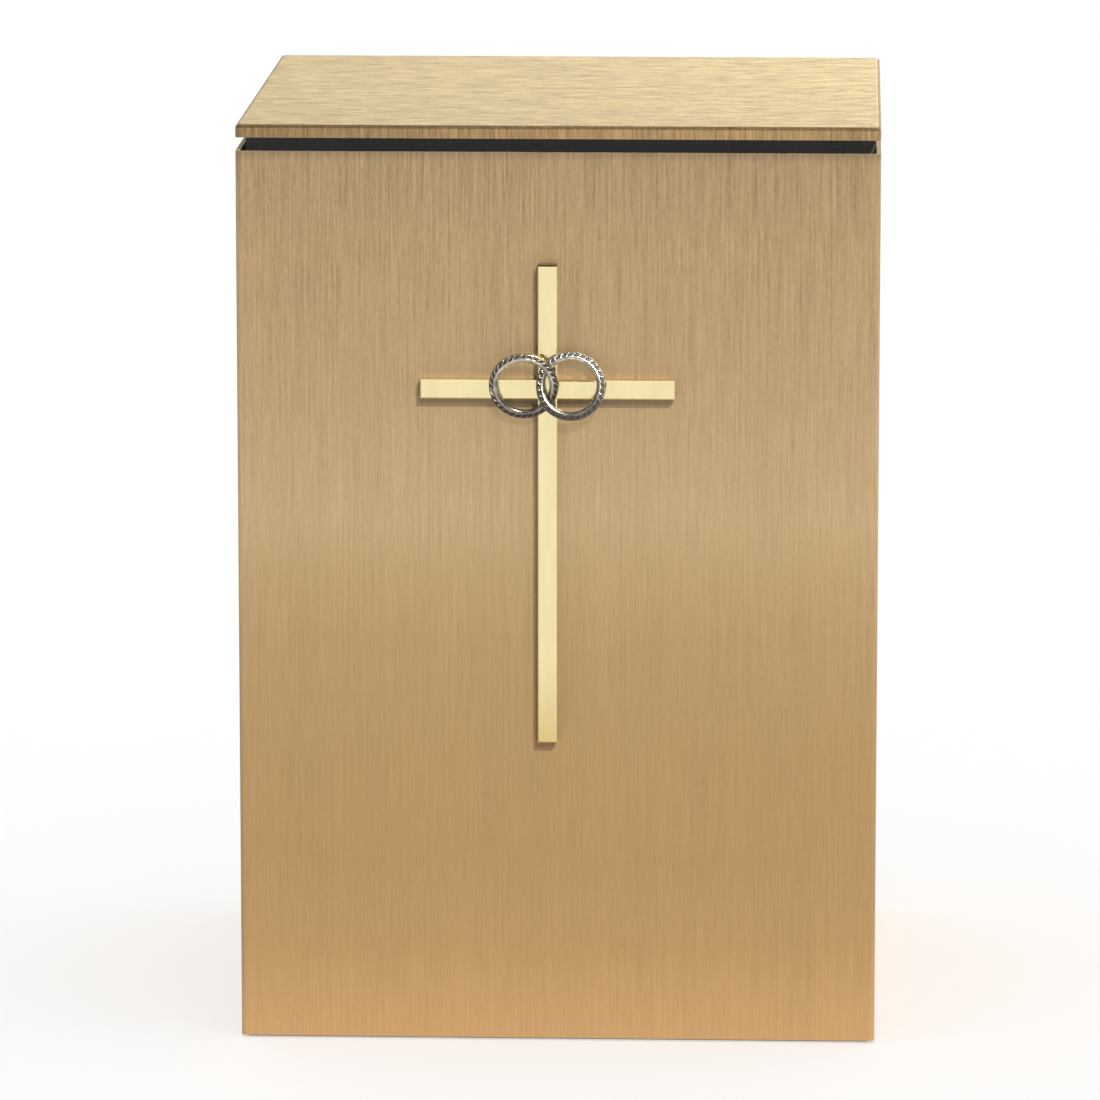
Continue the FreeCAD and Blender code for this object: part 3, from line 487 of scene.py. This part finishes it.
def make_band(name, lean):
    low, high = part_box(name)
    profile = band_profile((high.x - low.x) / 2)
    vertices, relief = band_vertices(profile)
    mesh = bpy.data.meshes.new(name + "_chased")
    mesh.from_pydata(vertices, [], ring_faces(len(vertices) // len(profile), len(profile)))
    mesh.update()
    mesh.transform(Matrix.Translation((low + high) / 2) @ Matrix.Rotation(lean, 4, "X"))
    attribute = mesh.attributes.new("relief", "FLOAT", "POINT")
    attribute.data.foreach_set("value", np.array(relief, np.float32))
    mesh.polygons.foreach_set("use_smooth", [True] * len(mesh.polygons))
    mesh.materials.append(FINISHES["antique_silver"])
    band = bpy.data.objects.new(name + "_chased", mesh)
    bpy.context.scene.collection.objects.link(band)
    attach(band, "box")
    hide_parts(name)


make_band("ring_left", LEAN)
make_band("ring_right", -LEAN)


# ---------------------------------------------------------------- floor, light and camera

FLOOR_HALF = 60.0
WORLD_STRENGTH = 0.55
WASH_STRENGTH = 1.98
BANDS = ("ring_left_chased", "ring_right_chased", "ring_posts")
UNLIT_BY_KEYS = ("lid_pan", "access_door")

# the direction towards the high key lamps, and the distance and size of all the key lamps
HIGH_RIGHT = (0.40, -1.0, 0.82)
KEY_FAR, KEY_SIZE = 4.5, 0.28


def make_floor():
    mesh = bpy.data.meshes.new("floor")
    corners = [(x * FLOOR_HALF, y * FLOOR_HALF, 0) for x, y in ((-1, -1), (1, -1), (1, 1), (-1, 1))]
    mesh.from_pydata(corners, [], [(0, 1, 2, 3)])
    floor = bpy.data.objects.new("floor", mesh)
    bpy.context.scene.collection.objects.link(floor)
    f = Finish("floor", Roughness=0.9, Specular_IOR_Level=0.1)
    f.colour(f.scaled(tone(0.86, 0.86, 0.86), f.span(f.even_noise(3.0), 0.3, 0.7, 0.995, 1.005)))
    mesh.materials.append(f.material)
    floor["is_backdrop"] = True
    return floor


def make_world():
    world = bpy.data.worlds.new("studio")
    bpy.context.scene.world = world
    world.use_nodes = True
    background = world.node_tree.nodes["Background"]
    background.inputs["Color"].default_value = tone(1.0, 1.0, 1.0)
    background.inputs["Strength"].default_value = WORLD_STRENGTH


def gather(name, objects):
    """A collection outside the scene, used to say what a lamp lights or what casts its shadows."""
    collection = bpy.data.collections.new(name)
    for thing in objects:
        collection.objects.link(thing)
    return collection


def soft_box(name, toward, distance, width, height, power, aim, lights, blockers=None, glossy=True):
    """A rectangular lamp at that distance from the aim point, in the direction toward, facing it.

    It lights only what the collection lights holds. What blockers holds casts its shadows, or all if None.
    Without glossy it isn't seen in reflections."""
    data = bpy.data.lights.new(name, "AREA")
    data.shape = "RECTANGLE"
    data.size, data.size_y = width, height
    data.energy = power
    lamp = bpy.data.objects.new(name, data)
    direction = Vector(toward).normalized()
    lamp.location = aim + direction * distance
    lamp.rotation_euler = direction.to_track_quat("Z", "Y").to_euler()
    lamp.visible_camera = False
    lamp.visible_glossy = glossy
    lamp.light_linking.receiver_collection = lights
    lamp.light_linking.blocker_collection = blockers
    bpy.context.scene.collection.objects.link(lamp)


def make_floor_wash(floor_only):
    wash = bpy.data.objects.new("wash", bpy.data.lights.new("wash", "SUN"))
    wash.data.energy = WASH_STRENGTH
    wash.light_linking.receiver_collection = floor_only
    wash.light_linking.blocker_collection = floor_only
    bpy.context.scene.collection.objects.link(wash)


def make_lamps(floor):
    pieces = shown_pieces()
    everything = gather("lit_by_box_lamps", pieces)
    keyed = gather("lit_by_keys", [o for o in pieces if o.name not in UNLIT_BY_KEYS])
    not_bands = gather("casts_key_shadow", [o for o in pieces if o.name not in BANDS])
    bands = gather("lit_by_band_lamp", [o for o in pieces if o.name in BANDS])
    cross = gather("lit_by_cross_lamp", [nodes["cross"]])
    lid = gather("lit_by_lid_lamps", [nodes["lid_pan"]])
    throat = gather("lit_by_throat_lamp", [nodes["throat_plate"], nodes["inner_collar"]])
    floor_only = gather("lit_by_floor_lamp", [floor])

    # the high key draws the bar's shadows, and the low one also those of the bands
    middle = (CROSS_LOW + CROSS_HIGH) / 2
    soft_box("key", HIGH_RIGHT, KEY_FAR, KEY_SIZE, KEY_SIZE, 340.0, middle, keyed, blockers=not_bands)
    soft_box("key_low", (0.24, -1.0, 0.55), KEY_FAR, KEY_SIZE, KEY_SIZE, 100.0, middle, keyed)
    soft_box("top", (0.0, -0.25, 1.0), 2.0, 1.4, 1.4, 3.0, middle, cross)
    soft_box("under", (0.05, -1.0, -0.42), 0.38, 0.30, 0.05, 0.15, middle, bands)
    soft_box("back", (0.75, 1.0, 0.40), 2.4, 1.2, 1.0, 90.0, middle, everything)
    soft_box("left", (-1.0, 0.35, 0.5), 2.2, 1.0, 1.0, 40.0, middle, everything)
    soft_box("right", (1.0, 0.30, 0.5), 2.2, 1.0, 1.0, 40.0, middle, everything)

    # the lid has its own lamps, which it doesn't mirror
    lid_top = Vector(((LID_LOW.x + LID_HIGH.x) / 2, (LID_LOW.y + LID_HIGH.y) / 2, LID_HIGH.z))
    lip = Vector((50 * MM, LID_LOW.y, (LID_LOW.z + LID_HIGH.z) / 2))
    soft_box("lid_key", HIGH_RIGHT, KEY_FAR, KEY_SIZE, KEY_SIZE, 385.0, lid_top, lid, glossy=False)
    soft_box("lid_side", (0.8, 0.4, 1.0), 0.5, 0.3, 0.3, 5.2, lid_top, lid, glossy=False)
    soft_box("lid_lip", (0.0, -1.0, 0.0), 0.15, 0.05, 0.004, 0.36, lip, lid, glossy=False)
    soft_box("throat", (0.0, -1.0, 0.1), 1.0, 0.6, 0.1, 2.6, lid_top, throat, blockers=floor_only)
    make_floor_wash(floor_only)


def make_camera():
    data = bpy.data.cameras.new("camera")
    data.lens = 243.75
    data.sensor_width = 36.0
    data.clip_start, data.clip_end = 0.1, 200.0
    camera = bpy.data.objects.new("camera", data)
    camera.location = (0.0984, -2.5706, 0.6206)
    looking_down, turned_left = math.radians(10.335), math.radians(2.341)
    camera.rotation_euler = (math.pi / 2 - looking_down, 0.0, turned_left)
    bpy.context.scene.collection.objects.link(camera)
    bpy.context.scene.camera = camera


make_world()
make_lamps(make_floor())
make_camera()
bpy.context.scene.view_settings.view_transform = "Standard"
bpy.context.scene.cycles.caustics_reflective = False
bpy.context.scene.cycles.blur_glossy = 1.0
